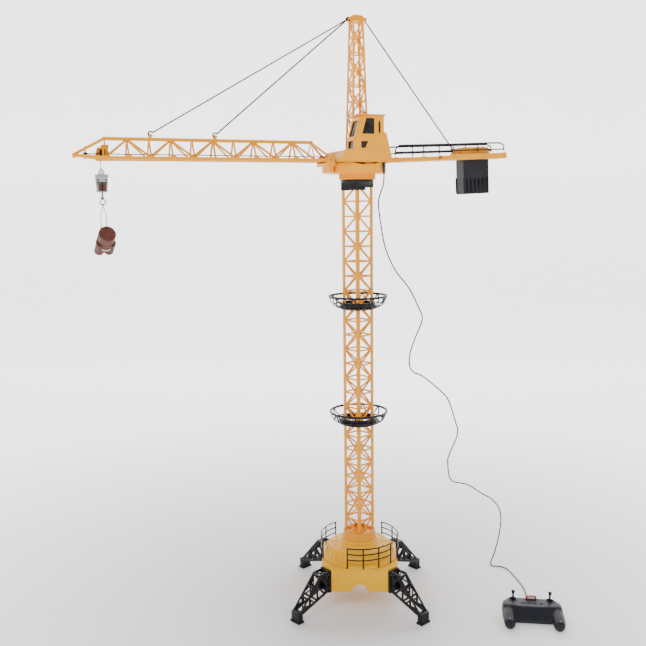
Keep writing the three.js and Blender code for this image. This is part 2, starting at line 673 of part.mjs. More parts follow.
function jibRootBracket() {
  const low = RING_LOW + 0.5;
  const start = 62.8;
  return cut(
    join(
      box(start, 73, -20, 20, low, 974),
      box(start, 82, -29.5, 29.5, 970, 976.8),
      slab([[start, 970], [start, 991], [70, 995], [80, 988], [82, 970]], 26, 29.5),
      slab([[start, 970], [start, 991], [70, 995], [80, 988], [82, 970]], -29.5, -26),
    ),
    rod(V(PIN_X, -35, PIN_Z), V(PIN_X, 35, PIN_Z), 2.2, 12),
  );
}

piece(slewing, 'jib_root_bracket', jibRootBracket(), AMBER);
piece(slewing, 'jib_pin', rod(V(PIN_X, -31, PIN_Z), V(PIN_X, 31, PIN_Z), 1.9, 12), STEEL);
piece(slewing, 'jib_inner_section', jibInner(), AMBER);
piece(slewing, 'jib_outer_section', jibOuter(), AMBER);
piece(slewing, 'jib_tip_pulley', tipPulley(), BLACK, { x: PULLEY_X, z: PULLEY_Z });
piece(slewing, 'jib_rope', jibRope(), STRING);

// ---------------------------------------------------------------- pendant ropes
// A straight rope with an open ring hook at each end, each hooked round a peg, in the plane y = const.
function pendant(topPeg, footPeg, y) {
  const wire = 1.5;
  const topRadius = 3.3;
  const footRadius = 4.6;
  const slope = new THREE.Vector2(footPeg[0] - topPeg[0], footPeg[1] - topPeg[1]).normalize();
  const play = [topRadius - 2.9, footRadius - 3.1];
  const top = [topPeg[0] + slope.x * play[0], topPeg[1] + slope.y * play[0]];
  const foot = [footPeg[0] - slope.x * play[1], footPeg[1] - slope.y * play[1]];
  const way = Math.sign(slope.x);
  const degrees = THREE.MathUtils.radToDeg(Math.atan2(slope.y, slope.x));
  const topHook = tube(arc(top[0], top[1], topRadius, degrees, degrees + way * 290, 8, y), wire, 6, 8);
  const footTurn = degrees + 180;
  const footArc = arc(foot[0], foot[1], footRadius, footTurn, footTurn - way * 290, 9, y);
  const footHook = tube(footArc, wire, 6, 10);
  const start = V(top[0] + slope.x * topRadius, y, top[1] + slope.y * topRadius);
  const end = V(foot[0] - slope.x * footRadius, y, foot[1] - slope.y * footRadius);
  return join(rod(start, end, wire, 6), topHook, footHook);
}

const HEAD_PEG = 18.4;
piece(slewing, 'pendant_outer', pendant([HEAD_PEG, 1273], [PEG_OUTER, PEG_HEIGHT], 2.2), STRING);
piece(slewing, 'pendant_inner', pendant([HEAD_PEG, 1273], [PEG_INNER, PEG_HEIGHT], -2.2), STRING);
piece(slewing, 'pendant_rear', pendant([-HEAD_PEG, 1273], [-236.5, 1009.5], 0), STRING);

// ---------------------------------------------------------------- counter-jib
const COUNTER_X = -60; // the counter-jib tilts about this line
counter.position.set(COUNTER_X, 0, DECK_LOW);
counter.rotation.y = COUNTER_TILT;
const FIRST_POST = -20;
const LAST_POST = FIRST_POST - 4 * COUNTER_PITCH;

function counterDeck() {
  const sheet = box(LAST_POST - 6, -1, -COUNTER_HALF, COUNTER_HALF, 1.5, 5);
  const parts = [sheet];
  for (const y of [-COUNTER_HALF, COUNTER_HALF - 3]) {
    parts.push(box(-122, -1, y, y + 3, 1.5, 10.5), box(LAST_POST - 6, -136, y, y + 3, 1.5, 11));
    parts.push(box(LAST_POST - 6, -156, y, y + 3, 1.5, 14));
  }
  parts.push(box(LAST_POST - 6, LAST_POST - 3, -COUNTER_HALF, COUNTER_HALF, 1.5, 14));
  for (let i = 0; i < 5; i += 1) {
    const x = FIRST_POST - i * COUNTER_PITCH;
    for (const y of [-COUNTER_HALF - 0.8, COUNTER_HALF - 3]) {
      parts.push(box(x - 3, x + 3, y, y + 3.8, 4, i >= 2 ? 15 : 12));
    }
  }
  parts.push(box(-181, -177, -4.6, -3, 4, 28), box(-181, -177, 3, 4.6, 4, 28));
  return join(...parts);
}

function counterRailing(y) {
  const high = 36;
  const mid = 22;
  const bend = 9;
  const first = FIRST_POST;
  const last = LAST_POST;
  const path = [V(first, y, 15.6), V(first, y, high - bend)];
  path.push(...arc(first - bend, high - bend, bend, 15, 75, 3, y));
  path.push(V(first - bend, y, high), V((first + last) / 2, y, high), V(last + bend, y, high));
  path.push(...arc(last + bend, high - bend, bend, 105, 165, 3, y), V(last, y, high - bend), V(last, y, 19));
  const parts = [tube(path, 1.7, 4, 24), rod(V(first, y, mid), V(last, y, mid), 1.4, 4)];
  for (let i = 1; i < 4; i += 1) {
    const x = first - i * COUNTER_PITCH;
    parts.push(rod(V(x, y, i >= 2 ? 17.3 : 13.3), V(x, y, high), 1.4, 4));
  }
  return join(...parts);
}

function winchBox() {
  return slab([[-187, 5.3], [-187, 17], [-191, 28], [-258, 28], [-262, 24], [-262, 5.3]], -19, 19);
}

function counterweight() {
  const body = box(-261, -195, -16, 16, -75, 1.2);
  const grooves = [];
  for (let i = 0; i < 6; i += 1) {
    for (const way of [1, -1]) {
      const y = way * 16;
      grooves.push(box(-257 + i * 10, -252 + i * 10, y - 1, y + 1, -71, -41));
    }
  }
  return cut(body, ...grooves);
}

piece(counter, 'counter_jib_deck', counterDeck(), AMBER);
piece(counter, 'counter_railing_near', counterRailing(COUNTER_HALF - 1.5), BLACK);
piece(counter, 'counter_railing_far', counterRailing(-COUNTER_HALF + 1.5), BLACK);
piece(counter, 'winch_box', winchBox(), AMBER);
piece(counter, 'counterweight', counterweight(), BLACK);

// ---------------------------------------------------------------- trolley, hoist rope and hook
function trolleyFrame() {
  const top = 1001.6;
  const cheek = [[516, 978], [544, 978], [544, 986], [540, top], [520, top], [516, 986]];
  const strap = [[TROLLEY_X - 2, 978], [TROLLEY_X + 2, 978], [TROLLEY_X + 2, top], [TROLLEY_X - 2, top]];
  return join(
    slab(cheek, -8.2, -5.9),
    slab(strap, 5.9, 8.2),
    box(516, 544, 5.9, 8.2, 977, 981),
    box(516, 544, -8.2, -5.9, 977, 981),
    box(520, 540, -8.2, 8.2, top - 1.8, top + 0.4),
    box(519, 533, -4, 4, top, 1007),
    box(516, 521, -17.5, 17.5, 977, 980),
    box(541, 544, -8, 8, 977, 982),
    rod(V(TROLLEY_X, -7, ROPE_TOP), V(TROLLEY_X, 7, ROPE_TOP), 1.5, 10),
  );
}

function trolleySheave() {
  const wheel = lathe([
    [1.9, -2], [6.5, -2], [3.6, -1], [3.6, 1], [6.5, 2], [1.9, 2], [1.9, -2],
  ], 16);
  return wheel.rotateX(Math.PI / 2);
}

function hookBlock() {
  const body = slab([[-11, 951.5], [11, 951.5], [11.3, 947], [9.5, 918], [-9.5, 918], [-11.3, 947]], -6, 6);
  const collar = slab([[-12.2, 951.5], [12.2, 951.5], [12.2, 946.5], [-12.2, 946.5]], -7, 7);
  const tip = HOOK_TOP - 0.8;
  const bell = lathe([[0, 951], [6.8, 951], [6, 956], [4.4, 961], [2.6, 961.5], [2.2, tip], [0, tip]], 16);
  const window = [[-8, 934], [8, 934], [6.8, 920.5], [-6.8, 920.5]];
  const pockets = [slab(window, 4.2, 8), slab(window, -8, -4.2)];
  return cut(join(body, collar, bell), ...pockets, rod(V(0, 0, 917), V(0, 0, 923), 2.4, 12));
}

function hook() {
  const ringZ = 899.5;
  const ring = tube(arc(0, ringZ, 5.2, 110, 420, 12), 1.3, 6, 14);
  return join(
    rod(V(0, 0, 905.5), V(0, 0, 922), 1.7, 12),
    rod(V(0, 0, 904), V(0, 0, 909), 3.4, 12),
    ring,
  );
}

function loadBail() {
  const points = [
    V(-5.5, -1.5, 851), V(-5.4, -2.6, 868), V(-4.2, -3.8, 882), V(-1.6, -4.2, 890), V(-0.5, -3, 895.2),
    V(0, 0, 897.3), V(0.5, 3, 895.2), V(1.6, 4.2, 890), V(4.2, 3.8, 882), V(5.4, 2.6, 868), V(5.5, 1.5, 851),
  ];
  return tube(points, 0.9, 6, 18);
}

// The load: a bundle of logs that hangs nose-up towards the cab side.
function logBundle() {
  const front = V(-3, 23.5, 840);
  const way = V(0.06, -0.84, -0.52).normalize();
  const along = (s) => front.clone().addScaledVector(way, s);
  const sideways = way.clone().cross(V(0, 0, 1)).normalize();
  const below = sideways.clone().cross(way).normalize().negate();
  const parts = [rod(along(0), along(46), 16.6, 16)];
  for (const side of [1, -1]) {
    const shift = below.clone().multiplyScalar(6).addScaledVector(sideways, side * 9.3);
    parts.push(rod(along(24).add(shift), along(57).add(shift), 9.5, 12));
  }
  parts.push(rod(along(33.5), along(37), 17.4, 16));
  const bailHoles = [1, -1].map((end) => (
    rod(V(end * 5.5, end * 1.5, 846), V(end * 5.5, end * 1.5, 870), 1.3, 10)
  ));
  return cut(join(...parts), ...bailHoles);
}

piece(slewing, 'trolley_frame', trolleyFrame(), AMBER);
piece(slewing, 'trolley_sheave', trolleySheave(), BLACK, { x: TROLLEY_X, z: ROPE_TOP });
const ropeFall = rod(V(0, 0, HOOK_TOP - 0.5), V(0, 0, ROPE_TOP), ROPE_R, 8);
piece(slewing, 'hoist_rope_fall', ropeFall, STRING, { x: ROPE_X });
piece(slewing, 'hook_block', hookBlock(), SILVER, { x: ROPE_X });
piece(slewing, 'hook', hook(), STEEL, { x: ROPE_X });
piece(slewing, 'load_bail', loadBail(), STEEL, { x: ROPE_X });
piece(slewing, 'log_bundle', logBundle(), BARK, { x: ROPE_X });

// ---------------------------------------------------------------- handset
const SPLIT_Z = 16; // the seam between the handset's shells

function handsetOutline(inset) {
  const shape = new THREE.Shape();
  shape.moveTo(-46 + inset, 30 - inset);
  shape.bezierCurveTo(-60 + inset, 29 - inset, -65.5 + inset, 14, -65.5 + inset, -2);
  shape.lineTo(-63 + inset, -50);
  shape.bezierCurveTo(-62 + inset, -69 + inset, -40 - inset, -69 + inset, -40 - inset, -52);
  shape.bezierCurveTo(-39 - inset, -38, -37, -31 + inset, -30, -31 + inset);
  shape.lineTo(30, -31 + inset);
  shape.bezierCurveTo(37, -31 + inset, 39 + inset, -38, 40 + inset, -52);
  shape.bezierCurveTo(40 + inset, -69 + inset, 62 - inset, -69 + inset, 63 - inset, -50);
  shape.lineTo(65.5 - inset, -2);
  shape.bezierCurveTo(65.5 - inset, 14, 60 - inset, 29 - inset, 46 - inset, 30 - inset);
  shape.closePath();
  return shape;
}

function cutsAbove(slope) {
  return slab(slope, -100, 100).rotateZ(Math.PI / 2);
}

// The upper shell: full height over the controls, falling away to the front edge and the grips.
function handsetUpper() {
  const body = plate(handsetOutline(0), HANDSET_TOP - SPLIT_Z).translate(0, 0, SPLIT_Z);
  const front = cutsAbove([[-80, 24], [-50, 26], [-31, 22], [-8, HANDSET_TOP], [-8, 50], [-80, 50]]);
  const back = cutsAbove([[26, HANDSET_TOP], [34, 24], [34, 50], [26, 50]]);
  const inner = plate(handsetOutline(3), 9).translate(0, 0, SPLIT_Z - 1);
  const low = common(inner, cutsAbove([[-30, 0], [-20, 60], [60, 60], [60, 0]]));
  const wells = [-STICK_X, STICK_X].map((x) => rod(V(x, STICK_Y, 24), V(x, STICK_Y, 40), 6.2, 20));
  const buttonHoles = [-1.5, -0.5, 0.5, 1.5].map((i) => rod(
    V(i * BUTTON_PITCH, 4, 20), V(i * BUTTON_PITCH, 4, 40), 3.9, 16,
  ));
  const cordHole = rod(V(-4, 24, 19), V(-4, 40, 19), 2.4, 12);
  return cut(body, front, back, low, ...wells, ...buttonHoles, cordHole);
}

function handsetLower() {
  const body = plate(handsetOutline(1.2), SPLIT_Z - GAP);
  const inner = plate(handsetOutline(4.5), 12).translate(0, 0, 5);
  const room = common(inner, box(-80, 80, -28, 60, 0, 60));
  const skirt = cutsAbove([[26, 0], [34, 8], [40, 8], [40, -5], [26, -5]]);
  return cut(body, room, skirt);
}

function stick() {
  return lathe([[0, -6], [3.2, -6], [3.4, -2], [2.2, 1], [2, 14], [3.7, 18.5], [4.1, 22], [0, 22.6]], 16);
}

function button() {
  return lathe([[0, -9], [3.4, -9], [3.4, 0.8], [2.9, 1.6], [0, 1.8]], 16);
}

piece(handset, 'handset_upper', handsetUpper(), GLOSS_BLACK);
piece(handset, 'handset_lower', handsetLower(), GLOSS_BLACK);
piece(handset, 'stick_left', stick(), BLACK, { x: -STICK_X, y: STICK_Y, z: HANDSET_TOP - 2 });
piece(handset, 'stick_right', stick(), BLACK, { x: STICK_X, y: STICK_Y, z: HANDSET_TOP - 2 });
[-1.5, -0.5, 0.5, 1.5].forEach((i, n) => {
  piece(handset, `button_${n + 1}`, button(), BLACK, { x: i * BUTTON_PITCH, y: 4, z: HANDSET_TOP - 0.8 });
});

// ---------------------------------------------------------------- control cord
// From under the relief, slack down to the floor and along it to the back of the handset.
const CORD_ROUTE = [
  [56.5, -33.6, 949.4], [55, -35, 930], [45, -35, 895], [50, -35, 845], [60, -30, 795], [80, -30, 750],
  [110, -25, 710], [130, -20, 670], [140, -10, 640], [125, 0, 595], [115, 10, 560], [115, 15, 530],
  [125, 20, 515], [145, 25, 505], [185, 35, 470], [205, 45, 445], [220, 55, 400], [230, 70, 360],
  [215, 85, 310], [210, 90, 285], [220, 105, 235], [260, 115, 220], [295, 125, 195], [325, 130, 175],
  [345, 140, 140], [345, 145, 90], [335, 155, 30], [325, 150, 5], [330, 140, 2], [350, 135, 2],
  [365, 110, 2], [380, 30, 2], [378, -30, 4], [375, -60, 13], [370.6, -77, 19],
];
const cordPath = CORD_ROUTE.map(([x, y, z]) => V(x, y, z));
piece(fixed, 'control_cord', tube(cordPath, CORD_R, 8, 78), GLOSS_BLACK);

export default model;
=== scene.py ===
# A wire-controlled toy tower crane: looks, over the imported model. Metres, +Z up.
import json
import math
import bmesh
import bpy
from mathutils import Matrix, Vector, noise


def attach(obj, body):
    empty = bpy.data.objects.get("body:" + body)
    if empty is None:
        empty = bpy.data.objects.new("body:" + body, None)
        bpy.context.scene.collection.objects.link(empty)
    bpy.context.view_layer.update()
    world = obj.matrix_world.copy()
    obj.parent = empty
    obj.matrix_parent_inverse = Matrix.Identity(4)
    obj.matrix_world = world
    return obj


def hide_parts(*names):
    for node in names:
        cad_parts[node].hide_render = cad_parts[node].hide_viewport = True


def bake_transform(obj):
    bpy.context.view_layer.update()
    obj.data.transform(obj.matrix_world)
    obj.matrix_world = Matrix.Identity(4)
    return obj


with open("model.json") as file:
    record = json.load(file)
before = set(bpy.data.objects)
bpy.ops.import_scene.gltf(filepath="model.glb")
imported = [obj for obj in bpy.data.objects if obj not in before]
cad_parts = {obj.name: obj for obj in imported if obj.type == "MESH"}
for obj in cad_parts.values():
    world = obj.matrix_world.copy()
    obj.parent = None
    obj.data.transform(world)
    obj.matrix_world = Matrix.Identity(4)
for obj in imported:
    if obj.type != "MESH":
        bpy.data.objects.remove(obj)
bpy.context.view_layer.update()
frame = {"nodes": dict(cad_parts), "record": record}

MM = 0.001
IN_MM = Matrix.Scale(MM, 4)

# the frames that the pieces are drawn in: each has its own origin and turn
TOWER = Vector((0.0494, 0.0389, 0.0))
FIXED = Matrix.Translation(TOWER)
SLEW_AT_REST = math.radians(204.5)
SLEWING = Matrix.Translation(TOWER) @ Matrix.Rotation(SLEW_AT_REST, 4, "Z")
COUNTER_ROOT = (-0.060, 0, 0.977)
COUNTER_RISE = math.radians(2.3)
COUNTER = SLEWING @ Matrix.Translation(COUNTER_ROOT) @ Matrix.Rotation(COUNTER_RISE, 4, "Y")
HANDSET_AT = Vector((0.371, -0.112, 0))
HANDSET_TURN = math.radians(-5.5)
HANDSET = Matrix.Translation(TOWER + HANDSET_AT) @ Matrix.Rotation(HANDSET_TURN, 4, "Z")
ROPE_REACH = 0.5346  # from the tower's axis to the falling rope, along the jib
ROPE_LINE = SLEWING @ Matrix.Translation((ROPE_REACH, 0, 0))
ROPE_HIGH = 0.993
ROPE_LOW = 0.9635
TOWER_FOOT = 152  # mm, where the lattice starts
TOWER_PANEL = 32.4  # mm, the height of one lattice panel

BODY_OF = {node: body for body, nodes in frame["record"]["behaviour"]["bodies"].items() for node in nodes}


# ---------------------------------------------------------------- camera
def camera():
    """Looks along +Y, turned by yaw, tipped down by pitch and rolled, all in radians."""
    pitch, yaw, roll = 0.142, -0.0442, 0.0128
    ahead = Vector((math.cos(pitch) * math.sin(yaw), math.cos(pitch) * math.cos(yaw), -math.sin(pitch)))
    right = ahead.cross(Vector((0, 0, 1))).normalized()
    up = right.cross(ahead)
    level_right, level_up = right.copy(), up.copy()
    right = level_right * math.cos(roll) - level_up * math.sin(roll)
    up = level_right * math.sin(roll) + level_up * math.cos(roll)
    data = bpy.data.cameras.new("camera")
    data.lens = 44.65
    data.sensor_width = 36.0
    data.clip_end = 50
    eye = bpy.data.objects.new("camera", data)
    bpy.context.collection.objects.link(eye)
    turn = Matrix((right, up, -ahead)).transposed().to_4x4()
    eye.matrix_world = Matrix.Translation(TOWER + Vector((0, -1.7526, 0.8823))) @ turn
    bpy.context.scene.camera = eye


# ---------------------------------------------------------------- materials
class Nodes:
    """A material under construction: each call adds one node."""

    def __init__(self, name):
        self.material = bpy.data.materials.new(name)
        self.material.use_nodes = True
        self.tree = self.material.node_tree
        self.shader = self.tree.nodes["Principled BSDF"]
        self.where = self.tree.nodes.new("ShaderNodeTexCoord").outputs["Object"]

    def link(self, a, b):
        self.tree.links.new(a, b)

    def noise(self, scale, detail=3.0, rough=0.5, stretch=(1, 1, 1)):
        spread = self.tree.nodes.new("ShaderNodeMapping")
        spread.inputs["Scale"].default_value = stretch
        self.link(self.where, spread.inputs["Vector"])
        node = self.tree.nodes.new("ShaderNodeTexNoise")
        node.inputs["Scale"].default_value = scale
        node.inputs["Detail"].default_value = detail
        node.inputs["Roughness"].default_value = rough
        self.link(spread.outputs[0], node.inputs["Vector"])
        return node.outputs["Fac"]

    def ramp(self, fac, stops):
        node = self.tree.nodes.new("ShaderNodeValToRGB")
        elements = node.color_ramp.elements
        while len(elements) < len(stops):
            elements.new(0.5)
        for element, (place, colour) in zip(elements, stops):
            element.position = place
            element.color = (*colour, 1)
        self.link(fac, node.inputs["Fac"])
        return node.outputs["Color"]

    def spread(self, fac, low, high, from_low=0.3, from_high=0.7):
        node = self.tree.nodes.new("ShaderNodeMapRange")
        node.inputs["From Min"].default_value = from_low
        node.inputs["From Max"].default_value = from_high
        node.inputs["To Min"].default_value = low
        node.inputs["To Max"].default_value = high
        self.link(fac, node.inputs["Value"])
        return node.outputs["Result"]

    def mix(self, fac, under, over):
        """The colour under, going over to a plain colour where fac is high."""
        node = self.tree.nodes.new("ShaderNodeMix")
        node.data_type = "RGBA"
        self.link(fac, node.inputs[0])
        self.link(under, node.inputs[6])
        node.inputs[7].default_value = (*over, 1)
        return node.outputs[2]

    def edges(self, radius):
        """1 on sharp edges, 0 on flats: how far a rounded normal differs from the true one."""
        bevel = self.tree.nodes.new("ShaderNodeBevel")
        bevel.samples = 4
        bevel.inputs["Radius"].default_value = radius
        plain = self.tree.nodes.new("ShaderNodeNewGeometry")
        dot = self.tree.nodes.new("ShaderNodeVectorMath")
        dot.operation = "DOT_PRODUCT"
        self.link(bevel.outputs[0], dot.inputs[0])
        self.link(plain.outputs["Normal"], dot.inputs[1])
        return self.spread(dot.outputs["Value"], 1, 0, 0.75, 0.99)

    def bump(self, heights):
        last = None
        for height, strength, distance in heights:
            node = self.tree.nodes.new("ShaderNodeBump")
            node.inputs["Strength"].default_value = strength
            node.inputs["Distance"].default_value = distance
            self.link(height, node.inputs["Height"])
            if last is not None:
                self.link(last, node.inputs["Normal"])
            last = node.outputs["Normal"]
        self.link(last, self.shader.inputs["Normal"])


def plastic(name, dark, light, worn, rough=(0.3, 0.45), depth=0.00004, coat=0.0, gloss=0.4):
    """Moulded plastic: mottled colour, fine grain, and scuffs and edges that go over to the worn colour."""
    n = Nodes(name)
    broad = n.noise(9, 4, 0.55)
    fine = n.noise(900.0, 2, 0.6)
    tone = n.ramp(broad, [(0.3, dark), (0.7, light)])
    scuffs = n.noise(160, 5, 0.7)
    tone = n.mix(n.spread(scuffs, 0, 0.22, 0.55, 0.8), tone, worn)
    tone = n.mix(n.spread(n.edges(0.0006), 0, 0.45, 0, 1), tone, worn)
    n.link(tone, n.shader.inputs["Base Color"])
    n.link(n.spread(n.noise(60, 4, 0.6), rough[0], rough[1]), n.shader.inputs["Roughness"])
    n.shader.inputs["Specular IOR Level"].default_value = gloss
    n.shader.inputs["Coat Weight"].default_value = coat
    n.shader.inputs["Coat Roughness"].default_value = 0.15
    n.bump([(fine, 0.35, depth), (scuffs, 0.2, depth * 2)])
    return n.material


def metal(name, dark, light, rough=(0.2, 0.35), stretch=(1, 1, 1)):
    n = Nodes(name)
    lines = n.noise(420, 3, 0.6, stretch)
    n.link(n.ramp(lines, [(0.3, dark), (0.7, light)]), n.shader.inputs["Base Color"])
    n.link(n.spread(n.noise(90, 4, 0.6), rough[0], rough[1]), n.shader.inputs["Roughness"])
    n.shader.inputs["Metallic"].default_value = 1.0
    n.bump([(lines, 0.3, 0.00003)])
    return n.material


def bark():
    n = Nodes("log_bark")
    streaks = n.noise(130, 6, 0.7, (1, 1, 0.35))
    patches = n.noise(38, 4, 0.6)
    tone = n.ramp(streaks, [
        (0.3, (0.03, 0.008, 0.005)), (0.55, (0.12, 0.026, 0.012)), (0.75, (0.24, 0.065, 0.032))])
    tone = n.mix(n.spread(patches, 0, 0.5), tone, (0.06, 0.016, 0.009))
    tone = n.mix(n.spread(n.edges(0.0008), 0, 0.5, 0, 1), tone, (0.34, 0.13, 0.075))
    n.link(tone, n.shader.inputs["Base Color"])
    n.link(n.spread(streaks, 0.45, 0.8), n.shader.inputs["Roughness"])
    n.bump([(streaks, 0.8, 0.0005), (patches, 0.4, 0.0006)])
    return n.material


def cord_skin(name, dark, light, rough, twist=0.0):
    """A cord's or strap's surface; twist is the scale of its woven bands, or 0 for a smooth jacket."""
    n = Nodes(name)
    fine = n.noise(1500, 3, 0.6)
    n.link(n.ramp(n.noise(45, 4, 0.6), [(0.3, dark), (0.7, light)]), n.shader.inputs["Base Color"])
    n.link(n.spread(fine, rough[0], rough[1]), n.shader.inputs["Roughness"])
    heights = [(fine, 0.3, 0.00006)]
    if twist:
        wave = n.tree.nodes.new("ShaderNodeTexWave")
        wave.wave_type = "BANDS"
        wave.bands_direction = "DIAGONAL"
        wave.inputs["Scale"].default_value = twist
        wave.inputs["Distortion"].default_value = 0.6
        n.link(n.where, wave.inputs["Vector"])
        heights.append((wave.outputs["Fac"], 0.9, 0.0003))
    n.bump(heights)
    return n.material


M = {
    "amber": plastic(
        "amber_plastic", (0.80, 0.30, 0.0), (0.90, 0.37, 0.001), (0.96, 0.50, 0.03), gloss=0.24),
    "bright_amber": plastic(
        "bright_amber_plastic", (0.88, 0.42, 0.0), (0.95, 0.50, 0.002), (0.98, 0.66, 0.05), gloss=0.24),
    "black": plastic(
        "black_plastic", (0.004, 0.004, 0.006), (0.009, 0.009, 0.012), (0.05, 0.05, 0.06), (0.30, 0.46),
        gloss=0.22),
    "gloss_black": plastic(
        "gloss_black_plastic", (0.012, 0.013, 0.019), (0.022, 0.024, 0.034), (0.06, 0.063, 0.08),
        (0.34, 0.48), gloss=0.2),
    "smoked": plastic(
        "smoked_window", (0.006, 0.004, 0.003), (0.012, 0.008, 0.006), (0.04, 0.028, 0.02), (0.22, 0.34),
        depth=0.00001, gloss=0.25),
    "silver": plastic(
        "silver_plastic", (0.22, 0.22, 0.23), (0.36, 0.36, 0.38), (0.62, 0.62, 0.64), (0.25, 0.4), coat=0.3),
    "pale": plastic("pale_plastic", (0.66, 0.65, 0.62), (0.78, 0.77, 0.75), (0.9, 0.9, 0.88), (0.3, 0.45)),
    "brown": plastic(
        "brown_insert", (0.075, 0.026, 0.012), (0.14, 0.05, 0.022), (0.30, 0.14, 0.08), (0.3, 0.5)),
    "red": plastic("red_plastic", (0.42, 0.02, 0.012), (0.58, 0.035, 0.02), (0.8, 0.2, 0.15), (0.3, 0.45)),
    "cream": cord_skin("cream_strap", (0.55, 0.46, 0.36), (0.72, 0.62, 0.50), (0.6, 0.8), 900.0),
    "steel": metal("bright_wire", (0.16, 0.165, 0.175), (0.36, 0.37, 0.39)),
    "motor_can": metal("motor_can_steel", (0.40, 0.40, 0.41), (0.58, 0.58, 0.59), (0.3, 0.5), (1, 1, 8)),
    "natural_white": plastic(
        "natural_white_plastic", (0.74, 0.71, 0.64), (0.85, 0.83, 0.77), (0.93, 0.92, 0.88)),
    "bark": bark(),
    "log_end": plastic(
        "log_end_grain", (0.13, 0.026, 0.013), (0.22, 0.048, 0.024), (0.42, 0.17, 0.10), (0.4, 0.6)),
    "string": cord_skin("black_string", (0.006, 0.006, 0.007), (0.015, 0.015, 0.017), (0.6, 0.85), 700.0),
    "cord": cord_skin("cord_jacket", (0.004, 0.004, 0.005), (0.010, 0.010, 0.012), (0.4, 0.55)),
}
SLOT_OF = {s["node"]: s["material_slot"] for s in frame["record"]["subparts"]}


# ---------------------------------------------------------------- building pieces
def loose(name, data):
    """A new object for a mesh or a lamp, with no body yet."""
    thing = bpy.data.objects.new(name, data)
    bpy.context.collection.objects.link(thing)
    return thing


def put(name, mesh, slot, body=None, place=None):
    """Adds a mesh as a piece, and attaches it to a body when one is given."""
    piece = loose(name, mesh)
    if place is not None:
        mesh.transform(place)
    mesh.materials.clear()
    mesh.materials.append(M[slot])
    if body:
        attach(piece, body)
    return piece


def from_bmesh(bm, name):
    bmesh.ops.recalc_face_normals(bm, faces=bm.faces)
    mesh = bpy.data.meshes.new(name)
    bm.to_mesh(mesh)
    bm.free()
    return mesh


def round_edges(piece, width, angle=35):
    """Rounds the sharp edges of a piece of this script's own and shades the rest smooth."""
    mesh = piece.data
    mesh.shade_smooth()
    mesh.set_sharp_from_angle(angle=math.radians(angle))
    bevel = piece.modifiers.new("edge", "BEVEL")
    bevel.width = width
    bevel.segments = 2
    bevel.limit_method = "ANGLE"
    bevel.angle_limit = math.radians(angle)
    bevel.use_clamp_overlap = True
    bevel.harden_normals = True
    bevel.miter_outer = "MITER_ARC"
    return piece


def refine(node):
    """A rounded, smooth-shaded piece made from a CAD node's own shape, in its place."""
    bm = bmesh.new()
    bm.from_mesh(frame["nodes"][node].data)
    bmesh.ops.remove_doubles(bm, verts=bm.verts, dist=0.00001)
    piece = put(node + "_look", from_bmesh(bm, node + "_look"), SLOT_OF[node], BODY_OF[node])
    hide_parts(node)
    return round_edges(piece, 0.0004)


def skin(bm, rings, loop=False, material=lambda row: 0):
    """Joins rings of points with quads, and caps the first and last unless they close on themselves."""
    rows = [[bm.verts.new(p) for p in ring] for ring in rings]
    count = len(rows[0])
    pairs = list(zip(rows, rows[1:]))
    if loop:
        pairs.append((rows[-1], rows[0]))
    for row, (a, b) in enumerate(pairs):
        for k in range(count):
            face = bm.faces.new((a[k], a[(k + 1) % count], b[(k + 1) % count], b[k]))
            face.material_index = material(row)
    if not loop:
        bm.faces.new(rows[0][::-1])
        bm.faces.new(rows[-1])


def tube_mesh(name, points, radius, sides, per):
    """A round tube through points, smoothed by Catmull-Rom with `per` steps a span, and its centre line."""
    pts = [Vector(p) for p in points]
    path = []
    for i in range(len(pts) - 1):
        a, b, c, d = pts[max(i - 1, 0)], pts[i], pts[i + 1], pts[min(i + 2, len(pts) - 1)]
        for k in range(per):
            t = k / per
            path.append(0.5 * ((2 * b) + (c - a) * t + (2 * a - 5 * b + 4 * c - d) * t * t
                               + (3 * b - a - 3 * c + d) * t * t * t))
    path.append(pts[-1])
    angles = [2 * math.pi * k / sides for k in range(sides)]
    rings = []
    normal = None
    for i, p in enumerate(path):
        way = (path[min(i + 1, len(path) - 1)] - path[max(i - 1, 0)]).normalized()
        if normal is None:
            normal = way.orthogonal().normalized()
        normal = (normal - way * normal.dot(way)).normalized()
        side = way.cross(normal)
        rings.append([p + (normal * math.cos(a) + side * math.sin(a)) * radius for a in angles])
    bm = bmesh.new()
    skin(bm, rings)
    mesh = from_bmesh(bm, name)
    mesh.shade_smooth()
    return mesh, path


# ---------------------------------------------------------------- control cord
CORD_ROUTE = [
    (56.5, -33.6, 949.4), (55, -35, 930), (45, -35, 895), (50, -35, 845), (60, -30, 795), (80, -30, 750),
    (110, -25, 710), (130, -20, 670), (140, -10, 640), (125, 0, 595), (115, 10, 560), (115, 15, 530),
    (125, 20, 515), (145, 25, 505), (185, 35, 470), (205, 45, 445), (220, 55, 400), (230, 70, 360),
    (215, 85, 310), (210, 90, 285), (220, 105, 235), (260, 115, 220), (295, 125, 195), (325, 130, 175),
    (345, 140, 140), (345, 145, 90), (335, 155, 30), (325, 150, 5), (330, 140, 2), (350, 135, 2),
    (365, 110, 2), (380, 30, 2), (378, -30, 4), (375, -60, 13), (370.6, -77, 19),
]
CORD_RADIUS = 0.0015


def control_cord():
    route = [TOWER + Vector(p) * MM for p in CORD_ROUTE]
    mesh, path = tube_mesh("control_cord_jacket", route, CORD_RADIUS, 12, 8)
    cord = put("control_cord_jacket", mesh, "cord")
    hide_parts("control_cord")
    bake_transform(cord)


